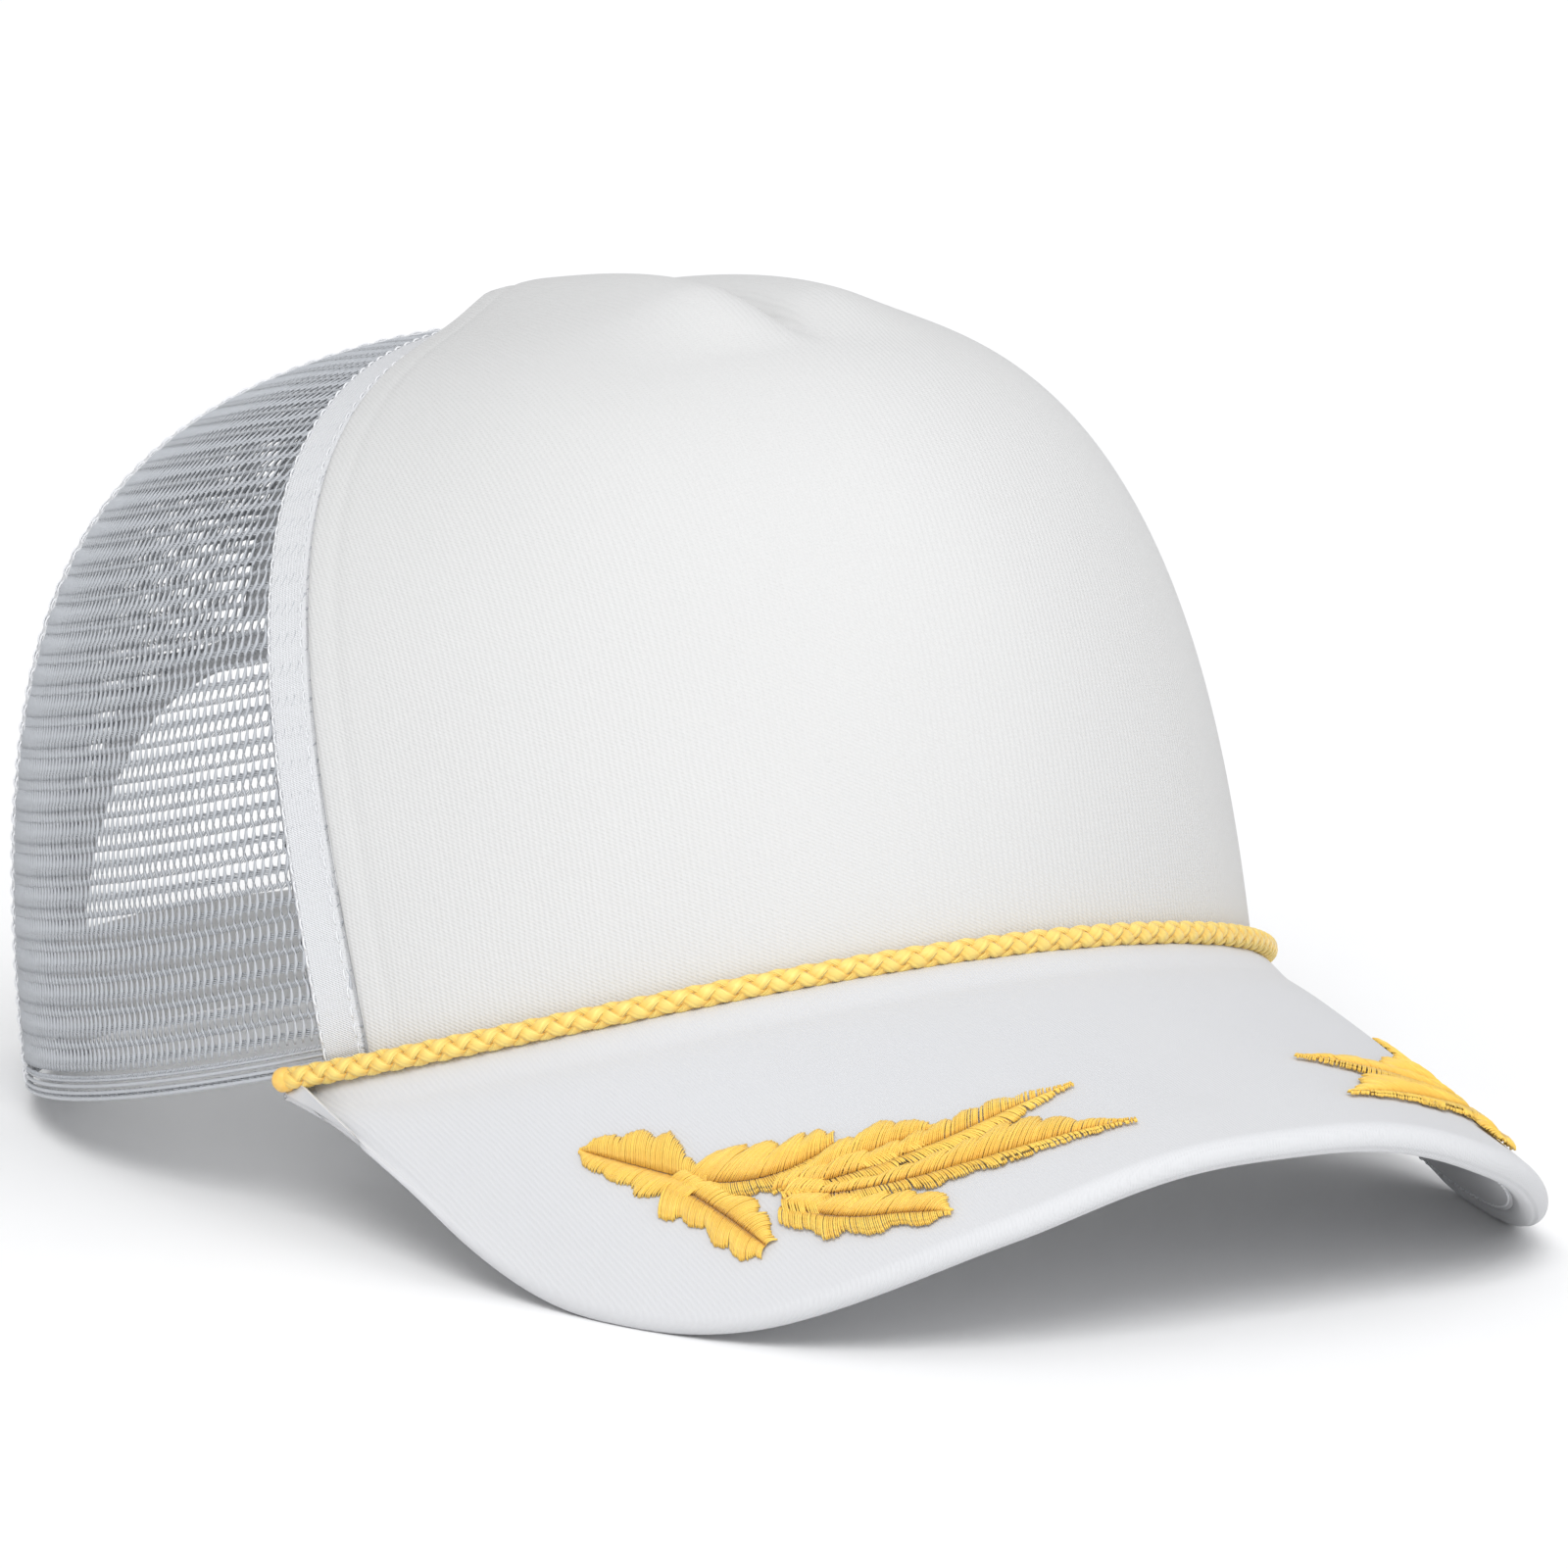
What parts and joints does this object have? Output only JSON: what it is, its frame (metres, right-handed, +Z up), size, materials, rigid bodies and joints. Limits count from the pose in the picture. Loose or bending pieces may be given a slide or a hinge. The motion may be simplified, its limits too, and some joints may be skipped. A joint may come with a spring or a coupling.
{
  "type": "trucker hat",
  "caption": "Five-panel trucker hat with a foam front, net sides and back, a curved visor, a braided rope above it and leaf embroidery on it.",
  "frame": {"origin": "middle of the bounding box, on the surface that the hat rests on", "axes": "+Z up, the visor points to -Y, the wearer's left is +X"},
  "size_m": [0.1644, 0.2688, 0.1241],
  "materials": {
    "foam_front": "white ribbed knit laminated on foam",
    "net": "pale grey polyester net",
    "tape": "white woven tape",
    "visor_cloth": "white fine woven cloth",
    "rope": "gold braided cord",
    "embroidery": "gold satin stitch thread",
    "strap_plastic": "white soft plastic"
  },
  "bodies": {
    "root": {"front_panel": "foam_front", "side_panel_left": "net", "side_panel_right": "net", "back_panel_left": "net", "back_panel_right": "net", "front_seam_tape_left": "tape", "front_seam_tape_right": "tape", "side_seam_tape_left": "tape", "side_seam_tape_right": "tape", "back_seam_tape": "tape", "opening_binding": "tape", "back_strap": "strap_plastic", "visor_top": "visor_cloth", "visor_underside": "visor_cloth", "rope": "rope", "leaf_sprig_left": "embroidery", "leaf_sprig_right": "embroidery", "top_button": "foam_front"}
  },
  "joints": []
}
